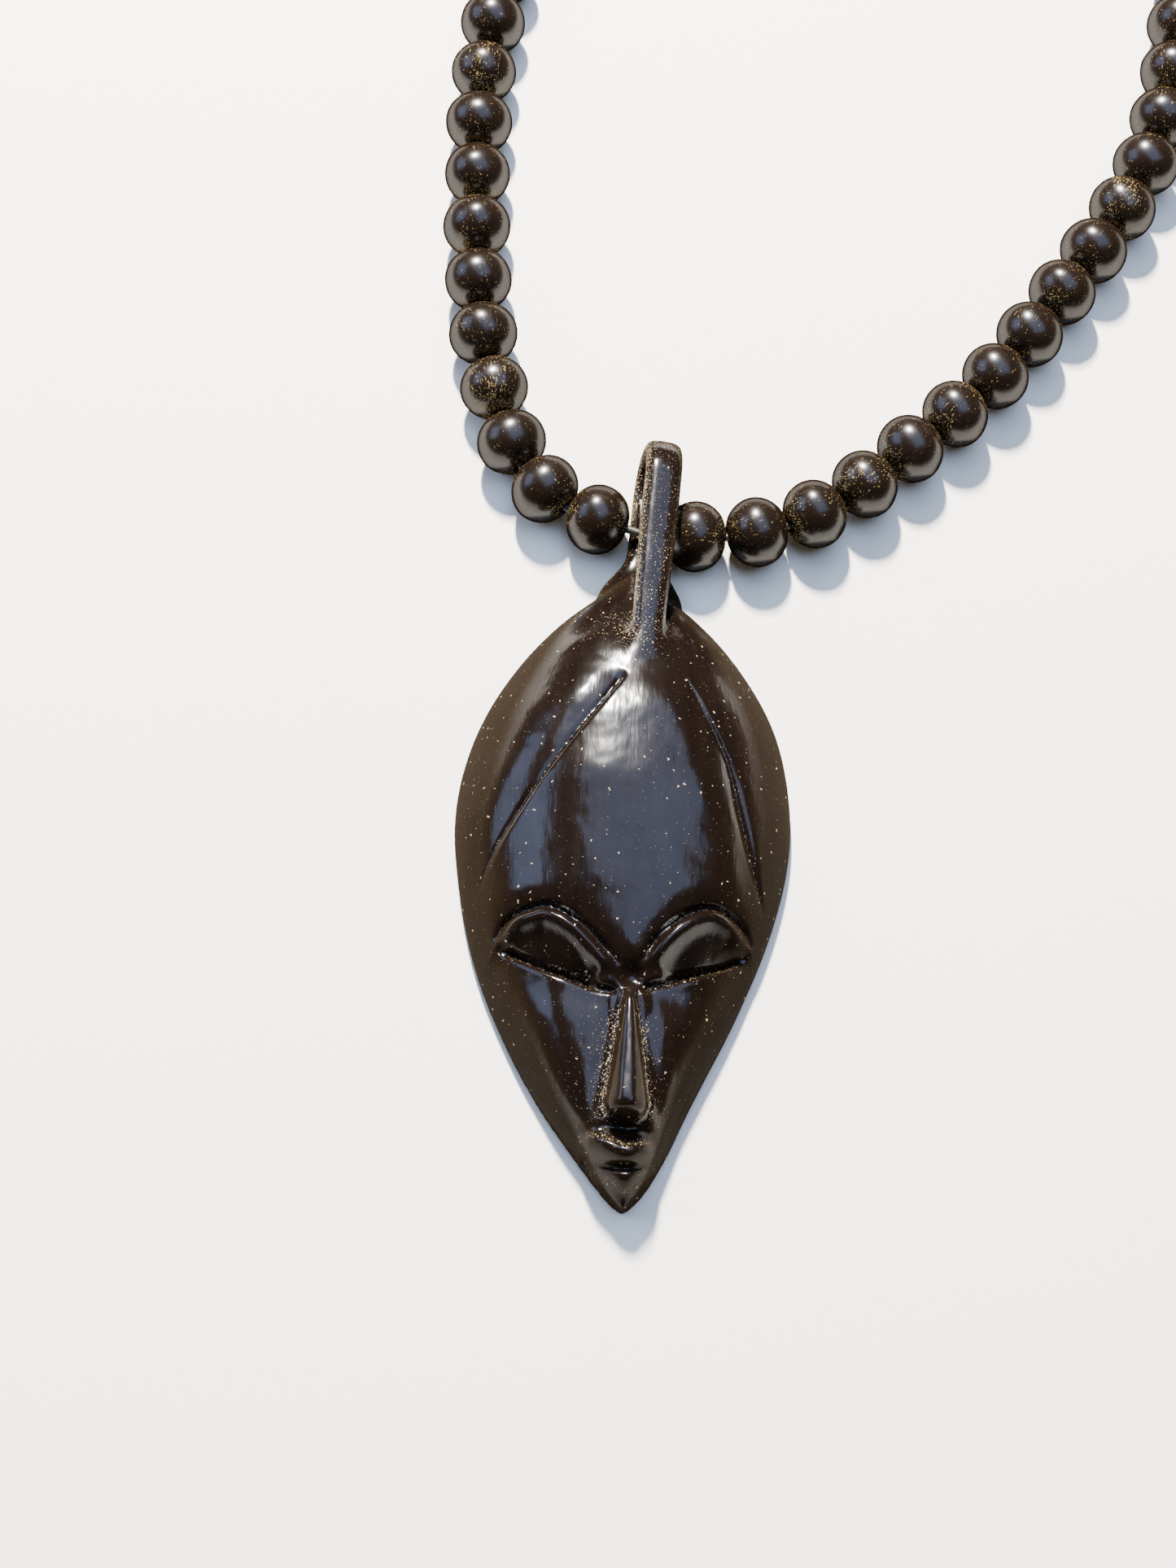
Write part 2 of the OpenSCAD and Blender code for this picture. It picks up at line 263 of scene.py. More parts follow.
full_places = [-43, -40, -36, -31.5, -27, -22, -14, -6, 0, 8, 18, 25, 31]
full_sizes = [0, -0.65, -0.75, -0.85, -0.75, -0.5, -0.1, 0.15, 0.33, 0.2, 0.36, 0.75, 0]
head_fine = np.linspace(-43, 31, 300)
ease = np.hanning(25) / np.hanning(25).sum()


def eased(fine, places, sizes):
    """A curve through a few stations, with its corners eased."""
    padded = np.pad(np.interp(fine, places, sizes), len(ease) // 2, mode="edge")
    return np.convolve(padded, ease, mode="valid")


ridge_curve = eased(ridge_fine, ridge_places, ridge_heights)
crook_curve = eased(head_fine, crook_places, crook_sizes)
full_curve = eased(head_fine, full_places, full_sizes)


def crook(y):
    """How far the head's middle strays sideways, as hand carving left it."""
    return np.interp(y, head_fine, crook_curve)


def half_width(y):
    """Half the head's width: a blunt crown, long flat cheeks and a small round chin."""
    upper = 1 - np.clip(y / head_up, 0, 1) ** crown_power
    t = np.clip(-y / head_down, 0, 1)
    chin_round = np.sqrt(1 - np.clip((t - chin_from) / (1 - chin_from), 0, 1) ** 2)
    lower = (1 - (jaw_reach * t) ** jaw_power) ** jaw_full * chin_round
    plain = head_wide / 2 * np.where(y > 0, upper, lower)
    return plain + np.interp(y, head_fine, full_curve) * np.clip(plain / 3, 0, 1)


def share_across(x, y):
    """0 along the head's middle and 1 at its rim."""
    return np.abs(x - crook(y)) / np.maximum(half_width(y), 0.05)


def dome(x, y):
    """The height of the plain rounded block before the face is cut into it."""
    across = np.clip(share_across(x, y), 0, 1)
    fullness = np.clip((-12 - y) / 12, 0, 1)
    power = 2.4 + 0.5 * fullness
    drop = 0.75 + 0.13 * fullness
    ridge = np.interp(y, ridge_fine, ridge_curve)
    return rim_thick + (ridge - rim_thick) * (1 - across ** power) ** drop


def smooth_line(points, per_span=14):
    """A smooth curve through a few layout points."""
    p = np.array(points, float)
    p = np.vstack([2 * p[0] - p[1], p, 2 * p[-1] - p[-2]])
    t = np.linspace(0, 1, per_span, endpoint=False)[:, None]
    spans = [0.5 * (2 * b + (c - a) * t + (2 * a - 5 * b + 4 * c - d) * t ** 2
                    + (3 * b - a - 3 * c + d) * t ** 3)
             for a, b, c, d in zip(p, p[1:], p[2:], p[3:])]
    return np.vstack(spans + [p[-2:-1]])


def beside(xy, line):
    """Each point's distance from a line, the share of the way along it, and the side: 1 is its left."""
    start, run = line[:-1], np.diff(line, axis=0)
    share = ((xy[:, None] - start) * run).sum(2) / (run ** 2).sum(1)
    share = share.clip(0, 1)
    off = xy[:, None] - (start + share[..., None] * run)
    away = np.hypot(off[..., 0], off[..., 1])
    best = away.argmin(1)
    rows = np.arange(len(xy))
    off, turn = off[rows, best], run[best]
    side = np.where(turn[:, 0] * off[:, 1] - turn[:, 1] * off[:, 0] > 0, 1, -1)
    return away[rows, best], (best + share[rows, best]) / len(run), side


def fade(share, first, last):
    """Runs from 0 to 1 over the first part of a line and back to 0 over its last part."""
    return np.clip(share / first, 0, 1) ** 0.7 * np.clip((1 - share) / last, 0, 1) ** 0.7


def ramp(value, low, high):
    """Runs smoothly from 0 at the low value to 1 at the high one."""
    t = np.clip((value - low) / (high - low), 0, 1)
    return t * t * (3 - 2 * t)


def bell(away, wide, power=2):
    """1 on a line or place, falling smoothly away over the width."""
    return np.exp(-(away / wide) ** power)


rows, columns = 150, 71
lengthwise = np.sin(np.linspace(-0.5, 0.5, rows) * math.pi)
lengthwise = np.where(lengthwise < 0, lengthwise * head_down, lengthwise * head_up) * 0.9995
crosswise = -np.cos(np.linspace(0, math.pi, columns))
grid_y, grid_u = np.meshgrid(lengthwise, crosswise, indexing="ij")
grid_x = grid_u * half_width(grid_y) + crook(grid_y)
top_z = dome(grid_x, grid_y)
top = np.stack([grid_x, grid_y, top_z], 2).reshape(-1, 3)
under = np.stack([grid_x, grid_y, 0 * top_z], 2).reshape(-1, 3)
count = rows * columns
quads = [(i * columns + j, i * columns + j + 1, (i + 1) * columns + j + 1, (i + 1) * columns + j)
         for i in range(rows - 1) for j in range(columns - 1)]
border = ([(0, j) for j in range(columns - 1)] + [(i, columns - 1) for i in range(rows - 1)]
          + [(rows - 1, j) for j in range(columns - 1, 0, -1)] + [(i, 0) for i in range(rows - 1, 0, -1)])
edge = [i * columns + j for i, j in border]
block = mesh_piece("mask_pendant", np.vstack([top, under]) / mm,
                   quads + [tuple(count + k for k in reversed(q)) for q in quads]
                   + [(a, a + count, b + count, b) for a, b in zip(edge, edge[1:] + edge[:1])],
                   cord_look)

strap_wide = 4.2
strap_thick = 2.7
hole_radius = 2.8
loop_lean = math.radians(8.5)
loop_turn = math.radians(4)
bend_y = 40.8
bend_z = 5.6
bend_radius = hole_radius + strap_thick / 2
front_root_y, back_root_y = 14, 26
front_rings, bend_rings, back_rings = 33, 33, 17
strap_sides = 40
turn = np.linspace(math.pi / 2, -math.pi / 2, bend_rings)
front_y = np.linspace(front_root_y, bend_y, front_rings + 1)[:-1]
back_y = np.linspace(bend_y, back_root_y, back_rings + 1)[1:]
spine_y = np.concatenate([front_y, bend_y + bend_radius * np.cos(turn), back_y])
spine_z = np.concatenate([np.full(front_rings, bend_z + bend_radius), bend_z + bend_radius * np.sin(turn),
                          np.full(back_rings, bend_z - bend_radius)])
slope = np.concatenate([np.full(front_rings, math.pi / 2), turn, np.full(back_rings, -math.pi / 2)])
front_flare = 2.4 * ramp(-front_y, -21.5, -15) - 0.35 * ramp(-front_y, -36, -24)
back_flare = 6.0 * ramp(-back_y, -34, -28)
flare = np.concatenate([front_flare, np.zeros(bend_rings), back_flare])
section = np.arange(strap_sides) * math.tau / strap_sides
corners, faces = [], []
for y, z, a, wider in zip(spine_y, spine_z, slope, flare):
    wide = (strap_wide + wider) / 2
    for s in section:
        across = wide * math.copysign(abs(math.cos(s)) ** 0.62, math.cos(s))
        through = strap_thick / 2 * math.copysign(abs(math.sin(s)) ** 0.72, math.sin(s))
        dy, dz = through * math.cos(a), through * math.sin(a)
        px = across * math.cos(loop_lean) + (z + dz) * math.sin(loop_lean)
        pz = (z + dz) * math.cos(loop_lean) - across * math.sin(loop_lean)
        py = y + dy - loop_place[1]
        corners.append((loop_place[0] + px * math.cos(loop_turn) + py * math.sin(loop_turn),
                        loop_place[1] + py * math.cos(loop_turn) - px * math.sin(loop_turn), pz))
for i in range(len(spine_y) - 1):
    this_ring, next_ring = i * strap_sides, (i + 1) * strap_sides
    for j in range(strap_sides):
        k = (j + 1) % strap_sides
        faces.append((this_ring + j, next_ring + j, next_ring + k, this_ring + k))
faces.append(range(strap_sides))
faces.append(range(len(corners) - 1, len(corners) - 1 - strap_sides, -1))
loop = mesh_piece("loop", np.array(corners) / mm, faces, cord_look)

bpy.ops.object.select_all(action="DESELECT")
for part in (block, loop):
    part.select_set(True)
    bpy.context.view_layer.objects.active = part
    bpy.ops.object.mode_set(mode="EDIT")
    bpy.ops.mesh.select_all(action="SELECT")
    bpy.ops.mesh.remove_doubles(threshold=0.0001)
    bpy.ops.mesh.normals_make_consistent(inside=False)
    bpy.ops.object.mode_set(mode="OBJECT")
bpy.context.view_layer.objects.active = block
block.select_set(True)
loop.select_set(True)
bpy.ops.object.join()
remesh = block.modifiers.new("one body", "REMESH")
remesh.mode = "VOXEL"
remesh.voxel_size = grain
remesh.use_smooth_shade = True
bpy.ops.object.modifier_apply(modifier=remesh.name)

mesh = block.data
points = np.empty(len(mesh.vertices) * 3)
mesh.vertices.foreach_get("co", points)
points = points.reshape(-1, 3)
edges = np.empty(len(mesh.edges) * 2, int)
mesh.edges.foreach_get("vertices", edges)
edges = edges.reshape(-1, 2)
neighbours = np.bincount(edges.ravel(), minlength=len(points))[:, None]


def ease_mesh(points, weight, passes):
    """Moves each point towards the middle of its neighbours, by its weight."""
    for _ in range(passes):
        total = np.zeros_like(points)
        for i in range(3):
            total[:, i] = (np.bincount(edges[:, 0], points[edges[:, 1], i], len(points))
                           + np.bincount(edges[:, 1], points[edges[:, 0], i], len(points)))
        points = points + weight[:, None] * (total / neighbours - points)
    return points


x, y, z = points.T
near_front_root = bell(x - 2.2, 5.5) * bell(y - 18.5, 4.5) * (z > 4)
near_back_root = bell(x - 1.4, 6.5) * bell(y - 30.5, 3.5) * (z < 6)
roots = np.clip(1.6 * np.maximum(near_front_root, near_back_root), 0, 1)
points = ease_mesh(points, 0.25 + 0.35 * roots, 3)
points = ease_mesh(points, 0.6 * roots, 30)
points[:, 2] = np.where(z < 0.2, 0, points[:, 2])

x, y, z = points.T.copy()
across = share_across(x, y)
on_loop = ramp(z - dome(x, y), 0.25, 0.7) * (np.abs(x - 2) < 6) * (y > 12)
face_side = (z > rim_thick + 0.1) & (across < 0.995)
trust = np.clip((1 - across) / 0.06, 0, 1) * face_side * (1 - np.clip(roots * 4, 0, 1)) * (1 - on_loop)
z = z + (dome(x, y) - z) * trust

# The carving of the face, all of it cut into the round: the hairline cuts, brows over closed eyes,
# the wedge of the nose with a knife line down each side, and full pointed lips over a round chin.
xy = np.stack([x, y], 1)
cut = np.zeros(len(x))
dust = np.zeros(len(x))
carve_zone = face_side & (across < 1) & (on_loop < 0.5)

hair_left = smooth_line([(-0.6, 15.4), (-2.9, 12.0), (-6.8, 6.6), (-10.8, 0.7), (-14.2, -4.6),
                         (-16.0, -9.0)])
away, share, side = beside(xy, hair_left)
strength = np.clip(share / 0.06, 0, 1) * np.clip((1 - share) / 0.35, 0, 1) ** 0.6
cut -= 0.42 * bell(away, 0.22, 1.5) * strength
cut -= 0.30 * bell(away, 1.6) * (side < 0) * strength
cut += 0.35 * bell(away - 4.2, 2.8) * (side < 0) * fade(share, 0.25, 0.3)
dust += 0.12 * bell(away, 0.35) * strength
hair_right = smooth_line([(5.2, 16.8), (8.4, 10.8), (10.8, 5.8), (12.4, -0.2), (14.0, -6.0),
                          (15.3, -10.4)])
away, share, side = beside(xy, hair_right)
strength = np.clip(share / 0.3, 0, 1) * np.clip((1 - share) / 0.22, 0, 1)
knife_wide = 0.2 + 0.45 * np.clip((1 - share) / 0.5, 0, 1)
cut -= 0.6 * bell(away, knife_wide, 1.6) * strength * ramp(share, 0.25, 0.6)
cut -= 0.5 * bell(away, 2.4) * (side < 0) * strength
cut += 0.25 * bell(away - 3.0, 2.2) * (side < 0) * fade(share, 0.3, 0.3)
dust += 0.12 * bell(away, 0.5) * strength

# Each eye lies between a brow line and a lower line, from its outer corner to its inner one.
eyes = {
    "left": ([(-13.8, -14.6), (-12.9, -12.9), (-11.7, -12.0), (-10.1, -11.6), (-8.0, -11.5), (-5.0, -13.1),
              (-2.6, -15.4), (-0.4, -17.8)],
             [(-13.6, -15.0), (-12.1, -15.9), (-10.2, -16.9), (-7.4, -18.2), (-4.8, -19.1), (-2.7, -19.8),
              (-0.4, -20.1)]),
    "right": ([(13.8, -13.9), (12.9, -12.3), (11.6, -11.4), (9.6, -10.9), (7.4, -11.5), (5.2, -13.0),
               (3.4, -14.9), (1.9, -17.4)],
              [(13.6, -14.3), (12.4, -15.4), (10.8, -16.5), (8.2, -17.6), (5.6, -18.6), (3.7, -19.2),
               (1.9, -19.8)]),
}
for name, (upper, lower) in eyes.items():
    above, share, side = beside(xy, smooth_line(upper))
    below, share_low, side_low = beside(xy, smooth_line(lower))
    out = 1 if name == "left" else -1
    over = side * out > 0
    under_low = side_low * out < 0
    signed = np.where(over, above, -above)
    ends = fade(share, 0.16, 0.12)
    ends_low = fade(share_low, 0.14, 0.06)
    lid_open = ramp(above + below, 0.3, 2.8) * (share_low > 0) * np.clip((1 - share) / 0.06, 0, 1)
    eye = ramp(-signed, 0.0, 0.5) * (~under_low) * lid_open
    down = np.clip(above / np.maximum(above + below, 0.01), 0, 1)
    cut -= np.where(~over, (0.15 + 2.1 * down ** 1.6) * eye, 0)
    cut -= bell(signed, 0.38) * ends
    cut -= 0.35 * bell(above, 1.5) * over * ends
    cut += 0.85 * bell(signed + 1.2, 0.95) * lid_open * (~under_low)
    cut -= 0.75 * bell(below, 0.4) * ends_low
    cut -= 0.55 * bell(below, 3.0) * under_low * ends_low
    dust += 0.35 * bell(below, 0.9) * under_low * ends_low
    dust += 0.25 * bell(signed + 0.6, 0.6) * ends * (share < 0.5) * (name == "right")

cut -= 1.5 * bell(x - middle, 1.7) * bell(y + 18.6, 1.6)
cut -= 0.7 * ramp(-y, 14, 22) * bell(np.abs(x - middle) - 4.2, 3.2)

nose_top, nose_end, nose_middle = -20.2, -33.4, 0.72
t = np.clip((nose_top - y) / (nose_top - nose_end), 0, 1)
nose_half = 0.5 + 1.9 * t ** 0.95
off = np.abs(x - nose_middle)
end_round = np.sqrt(np.clip(1 - ((-y + nose_end + 1.6) / 2.0).clip(0, 1) ** 2, 0, 1))
edge_at = nose_half * np.where(y < nose_end + 1.6, 0.25 + 0.75 * end_round, 1)
wedge = ramp(edge_at - off, -0.28, 0.34) * (y < nose_top + 0.4) * ramp(y, nose_end - 0.75, nose_end + 0.35)
tip_fall = np.sqrt(1 - ((nose_end + 1.2 - y) / 1.9).clip(0, 1) ** 2)
nose_high = (0.7 + 2.8 * t ** 0.9) * tip_fall
crown = 1 - 0.62 * np.clip(off / np.maximum(nose_half, 0.3) - 0.3, 0, 0.8) ** 1.2
cut += nose_high * crown * wedge
past_edge = off - edge_at
outside = past_edge > 0
cut -= 0.3 * bell(past_edge - 0.22, 0.22) * (y < nose_top) * (y > nose_end)
cut -= 0.55 * bell(past_edge - 0.9, 1.1) * ramp(-y, 20, 24) * ramp(y, -36, -32) * outside
dust += 0.12 * bell(past_edge - 0.1, 0.6) * ramp(-y, 20, 23) * ramp(y, -35, -33) * outside
dust += 0.4 * bell(past_edge, 2.0 + 1.2 * (x < 0)) * ramp(-y, 20, 24) * ramp(y, -35, -33) * outside

cut -= 0.7 * bell(y + 34.5, 0.55) * bell(np.abs(x - 0.9), 2.6, 4)
cut -= 0.45 * bell(x - 1.0, 0.5) * ramp(-y, 33.8, 34.6) * ramp(y, -36.6, -35.4)
upper_lip = smooth_line([(-4.2, -36.2), (-2.4, -36.3), (-0.8, -36.9), (0.8, -37.35), (2.4, -37.0),
                         (3.9, -36.4)])
away, share, side = beside(xy, upper_lip)
cut += 1.45 * bell(away, 1.05, 2.6) * fade(share, 0.12, 0.12)
dust += 0.7 * bell(away - 0.8, 0.5) * (side > 0) * fade(share, 0.3, 0.1)
mouth = smooth_line([(-4.3, -36.8), (-2.4, -37.7), (-0.3, -38.5), (1.1, -38.6), (2.5, -38.1), (4.2, -37.1)])
away, share, side = beside(xy, mouth)
cut -= 1.1 * bell(away, 0.42) * fade(share, 0.08, 0.08)
lower_tip = (1.0, -40.8)
lower_wide = np.clip(0.45 + (y + 40.9) * 1.1, 0.3, 4.2)
cut += 1.2 * bell(np.abs(x - 0.8), lower_wide, 3) * bell(np.abs(y + 39.6), 1.2, 3.2)
for corner in ((-4.2, -36.9), (4.2, -37.3)):
    halfway = ((corner[0] + lower_tip[0]) / 2 - 0.1 * np.sign(corner[0]), -39.3)
    away, share, side = beside(xy, smooth_line([corner, halfway, lower_tip]))
    cut -= 0.3 * bell(away, 0.26) * fade(share, 0.1, 0.4) * ramp(y, -40.6, -39.8)
    dust += 0.35 * bell(away, 0.4)

waver = np.array([noise.noise(Vector(p) * 0.35) + 0.45 * noise.noise(Vector(p) * 0.9) for p in points])
z = np.where(carve_zone, z + cut * np.clip((1 - across) / 0.09, 0, 1), z)
z = np.where(z > rim_thick, z + 0.045 * waver, z)
z = np.where(points[:, 2] <= 0.01, 0, np.maximum(z, 0))
points = np.stack([x, y, z], 1)
points = ease_mesh(points, np.where(points[:, 2] > 0.02, 0.22, 0.0), 1)

evened = ease_mesh(points, np.ones(len(points)), 1)
mesh.vertices.foreach_set("co", (points * mm).ravel())
mesh.update()
normals = np.empty(len(points) * 3)
mesh.vertices.foreach_get("normal", normals)
normals = normals.reshape(-1, 3)
hollow = ((evened - points) * normals).sum(1)
for _ in range(3):
    hollow = (hollow + (np.bincount(edges[:, 0], hollow[edges[:, 1]], len(points))
                        + np.bincount(edges[:, 1], hollow[edges[:, 0]], len(points))) / neighbours[:, 0]) / 2
dust += np.clip(hollow / 0.03, 0, 1) * 0.22
root_dust = 0.5 * bell(x - 0.2, 2.6) * bell(y - 19.5, 2.4)
loop_side = np.clip(-normals[:, 0], 0, 1) ** 2 * ramp(y, 20, 26) * 0.8
strap_dust = 0.34 * ramp(y, 17, 24) * ((z > 8) | (y > 38))
dust = np.clip(dust * carve_zone + root_dust + loop_side + strap_dust + 0.1, 0, 1)
# Where the flanks lose their wax and take a warm brown tint, partly dull unpolished wax and partly painted
# rim reflection.
unbuffed_and_rim_tinted = np.maximum.reduce([ramp(share_across(x, y), 0.55, 0.8), ramp(y, 24, 30) * 0.6,
                              ramp(-y, 32.5, 35) * 0.8, wedge * 0.75])
flank = ramp(1 - normals[:, 2], 0.12, 0.34) * unbuffed_and_rim_tinted
for name, values in (("dust", dust), ("flank", flank)):
    mesh.attributes.new(name, "FLOAT", "POINT").data.foreach_set("value", values.astype(np.float32))
for polygon in mesh.polygons:
    polygon.use_smooth = True

# Ebony, blackened and waxed: nearly black brown, glossy with a soft edge to what it mirrors, with fine
# scratches and open pores, and a pale tan dust in the cuts and on the flanks. The steep flanks are also
# tinted warm brown: partly the dull film of unpolished dusty wax, partly a painted warm reflection at the
# rim.
ebony, shader = new_material("waxed_black_ebony")
where = node(ebony, "ShaderNodeTexCoord").outputs["Object"]
along_grain = node(ebony, "ShaderNodeMapping", {"Vector": where, "Scale": (1, 0.18, 1)}).outputs["Vector"]
dust_at = node(ebony, "ShaderNodeAttribute", attribute_name="dust").outputs["Fac"]
flank_at = node(ebony, "ShaderNodeAttribute", attribute_name="flank").outputs["Fac"]
veins = node(ebony, "ShaderNodeTexNoise", {"Vector": along_grain, "Scale": 1 / (1.2 * mm), "Detail": 4})
cloud = node(ebony, "ShaderNodeTexNoise", {"Vector": where, "Scale": 1 / (5 * mm), "Detail": 3})
crumbs = node(ebony, "ShaderNodeTexNoise", {"Vector": where, "Scale": 1 / (0.17 * mm), "Detail": 2,
              "Roughness": 0.6})
strayed = node(ebony, "ShaderNodeTexNoise", {"Vector": where, "Scale": 1 / (0.3 * mm), "Detail": 1})
strays = node(ebony, "ShaderNodeVectorMath", {0: strayed.outputs["Color"], 1: where, "Scale": 0.45 * mm},
              operation="SCALE")
mote_where = node(ebony, "ShaderNodeVectorMath", {0: where, 1: strays.outputs[0]}, operation="ADD")
motes = node(ebony, "ShaderNodeTexVoronoi", {"Vector": mote_where.outputs[0], "Scale": 1 / (0.62 * mm)})
mote_size = node(ebony, "ShaderNodeSeparateColor", {"Color": motes.outputs["Color"]})
wood_tone = node(ebony, "ShaderNodeMix", {"Factor": veins.outputs["Fac"], "A": linear("#050303"),
                 "B": linear("#160e09")}, data_type="RGBA")
# Painted rim reflection: steep flanks are mixed towards a warm brown that stands for warm surroundings
# mirrored at grazing angles, together with the dull film of unpolished wax.
rim_film_and_painted_reflection_share = node(ebony, "ShaderNodeMath", {0: flank_at, 1: 0.8}, operation="MULTIPLY")
rim_film_and_painted_reflection = node(ebony, "ShaderNodeMix", {"Factor": rim_film_and_painted_reflection_share.outputs[0], "A": wood_tone.outputs["Result"],
              "B": linear("#1d160d")}, data_type="RGBA")
crumb_limit = node(ebony, "ShaderNodeMapRange", {"Value": dust_at, "From Min": 0.0, "From Max": 1.0,
                   "To Min": 0.74, "To Max": 0.53})
crumb_over = node(ebony, "ShaderNodeMath", {0: crumbs.outputs["Fac"], 1: crumb_limit.outputs["Result"]},
                  operation="SUBTRACT")
crumb_mask = node(ebony, "ShaderNodeMapRange", {"Value": crumb_over.outputs[0], "From Min": 0.0,
                  "From Max": 0.06})
mote_limit = node(ebony, "ShaderNodeMapRange", {"Value": mote_size.outputs["Red"], "From Min": 0.7,
                  "From Max": 1.0, "To Min": 0.0, "To Max": 0.22})
mote_over = node(ebony, "ShaderNodeMath", {0: mote_limit.outputs["Result"], 1: motes.outputs["Distance"]},
                 operation="SUBTRACT")
mote_mask = node(ebony, "ShaderNodeMapRange", {"Value": mote_over.outputs[0], "From Min": 0.0,
                 "From Max": 0.04})
all_dust = node(ebony, "ShaderNodeMath", {0: crumb_mask.outputs["Result"], 1: mote_mask.outputs["Result"]},
                operation="MAXIMUM")
dust_tone = node(ebony, "ShaderNodeMix", {"Factor": cloud.outputs["Fac"], "A": linear("#7d6a4a"),
                 "B": linear("#c4b292")}, data_type="RGBA")
surface = node(ebony, "ShaderNodeMix", {"Factor": all_dust.outputs[0], "A": rim_film_and_painted_reflection.outputs["Result"],
               "B": dust_tone.outputs["Result"]}, data_type="RGBA")
clean = node(ebony, "ShaderNodeMapRange", {"Value": all_dust.outputs[0], "To Min": 1.0, "To Max": 0.1})
buffed = node(ebony, "ShaderNodeMapRange", {"Value": flank_at, "To Min": 1.0, "To Max": 0.08})
edge_on = node(ebony, "ShaderNodeLayerWeight", {"Blend": 0.5}).outputs["Facing"]
thinned = node(ebony, "ShaderNodeMapRange", {"Value": edge_on, "From Min": 0.5, "From Max": 0.95,
               "To Min": 1.0, "To Max": 0.3})
rubbed = node(ebony, "ShaderNodeMapRange", {"Value": cloud.outputs["Fac"], "From Min": 0.3, "From Max": 0.7,
              "To Min": 0.46, "To Max": 0.6})
wax = rubbed.outputs["Result"]
for share in (clean, buffed, thinned):
    wax = node(ebony, "ShaderNodeMath", {0: wax, 1: share.outputs["Result"]},
               operation="MULTIPLY").outputs[0]
dulled = node(ebony, "ShaderNodeMapRange", {"Value": all_dust.outputs[0], "To Min": 0.48, "To Max": 0.85})
ripple = node(ebony, "ShaderNodeTexNoise", {"Vector": along_grain, "Scale": 1 / (0.45 * mm), "Detail": 3})
ripple_bump = node(ebony, "ShaderNodeBump", {"Height": ripple.outputs["Fac"], "Strength": 0.6,
                   "Distance": 0.03 * mm})
dust_bump = node(ebony, "ShaderNodeBump", {"Height": all_dust.outputs[0], "Strength": 0.5,
                 "Distance": 0.05 * mm, "Normal": ripple_bump.outputs["Normal"]})
shader.inputs["Specular IOR Level"].default_value = 0.0
shader.inputs["Coat Roughness"].default_value = 0.17
shader.inputs["Coat IOR"].default_value = 1.5
shader.inputs["Sheen Weight"].default_value = 0.015
shader.inputs["Sheen Roughness"].default_value = 0.4
shader.inputs["Sheen Tint"].default_value = linear("#c8a468")
link(ebony, wax, shader, "Coat Weight")
link(ebony, ripple_bump.outputs["Normal"], shader, "Coat Normal")
link(ebony, surface.outputs["Result"], shader, "Base Color")
link(ebony, dulled.outputs["Result"], shader, "Roughness")
link(ebony, dust_bump.outputs["Normal"], shader, "Normal")
mesh.materials.clear()
mesh.materials.append(ebony)
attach(block, "pendant")
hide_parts("pendant")

# The beads: round, turned from the same dark wood, drilled, tumbled and waxed. Tumbling left each a
# little out of round, and the ends around the bores are dustiest, with fine streaks along the grain.
bead_wide = 8.0
bore_wide = 1.6
bead_look, shader = new_material("waxed_turned_bead")
spot = node(bead_look, "ShaderNodeAttribute", attribute_name="bead_place").outputs["Vector"]
dust_at = node(bead_look, "ShaderNodeAttribute", attribute_name="dust").outputs["Fac"]
streak_space = node(bead_look, "ShaderNodeMapping", {"Vector": spot, "Scale": (0.16, 1, 1)}).outputs["Vector"]
streaks = node(bead_look, "ShaderNodeTexNoise", {"Vector": streak_space, "Scale": 1 / 0.22, "Detail": 3})
specks = node(bead_look, "ShaderNodeTexNoise", {"Vector": spot, "Scale": 1 / 0.18, "Detail": 2})
patches = node(bead_look, "ShaderNodeTexNoise", {"Vector": spot, "Scale": 1 / 3.0, "Detail": 2})
tone = node(bead_look, "ShaderNodeMix", {"Factor": streaks.outputs["Fac"], "A": linear("#060403"),
            "B": linear("#1c130c")}, data_type="RGBA")
both = node(bead_look, "ShaderNodeMath", {0: streaks.outputs["Fac"], 1: specks.outputs["Fac"]},
            operation="ADD")
shifted = node(bead_look, "ShaderNodeMath", {0: dust_at, 1: patches.outputs["Fac"]}, operation="MULTIPLY")
limit = node(bead_look, "ShaderNodeMapRange", {"Value": shifted.outputs[0], "From Min": 0.0,
             "From Max": 0.6, "To Min": 1.34, "To Max": 1.0})
over = node(bead_look, "ShaderNodeMath", {0: both.outputs[0], 1: limit.outputs["Result"]},
            operation="SUBTRACT")
bead_dust = node(bead_look, "ShaderNodeMapRange", {"Value": over.outputs[0], "From Min": 0.0,
                 "From Max": 0.07})
coloured = node(bead_look, "ShaderNodeMix", {"Factor": bead_dust.outputs["Result"],
                "A": tone.outputs["Result"], "B": linear("#75643f")}, data_type="RGBA")
bead_rough = node(bead_look, "ShaderNodeMapRange", {"Value": bead_dust.outputs["Result"], "To Min": 0.5,
                  "To Max": 0.85})
edge_on = node(bead_look, "ShaderNodeLayerWeight", {"Blend": 0.5}).outputs["Facing"]
thinned = node(bead_look, "ShaderNodeMapRange", {"Value": edge_on, "From Min": 0.35, "From Max": 0.72,
               "To Min": 0.6, "To Max": 0.0})
clean = node(bead_look, "ShaderNodeMapRange", {"Value": bead_dust.outputs["Result"], "To Min": 1.0,
             "To Max": 0.15})
bead_wax = node(bead_look, "ShaderNodeMath", {0: thinned.outputs["Result"], 1: clean.outputs["Result"]},
                operation="MULTIPLY")
bead_bump = node(bead_look, "ShaderNodeBump", {"Height": both.outputs[0], "Strength": 0.3,
                 "Distance": 0.02 * mm})
shader.inputs["Specular IOR Level"].default_value = 0.0
shader.inputs["Coat Roughness"].default_value = 0.24
shader.inputs["Coat IOR"].default_value = 1.5
shader.inputs["Sheen Weight"].default_value = 0.01
shader.inputs["Sheen Roughness"].default_value = 0.35
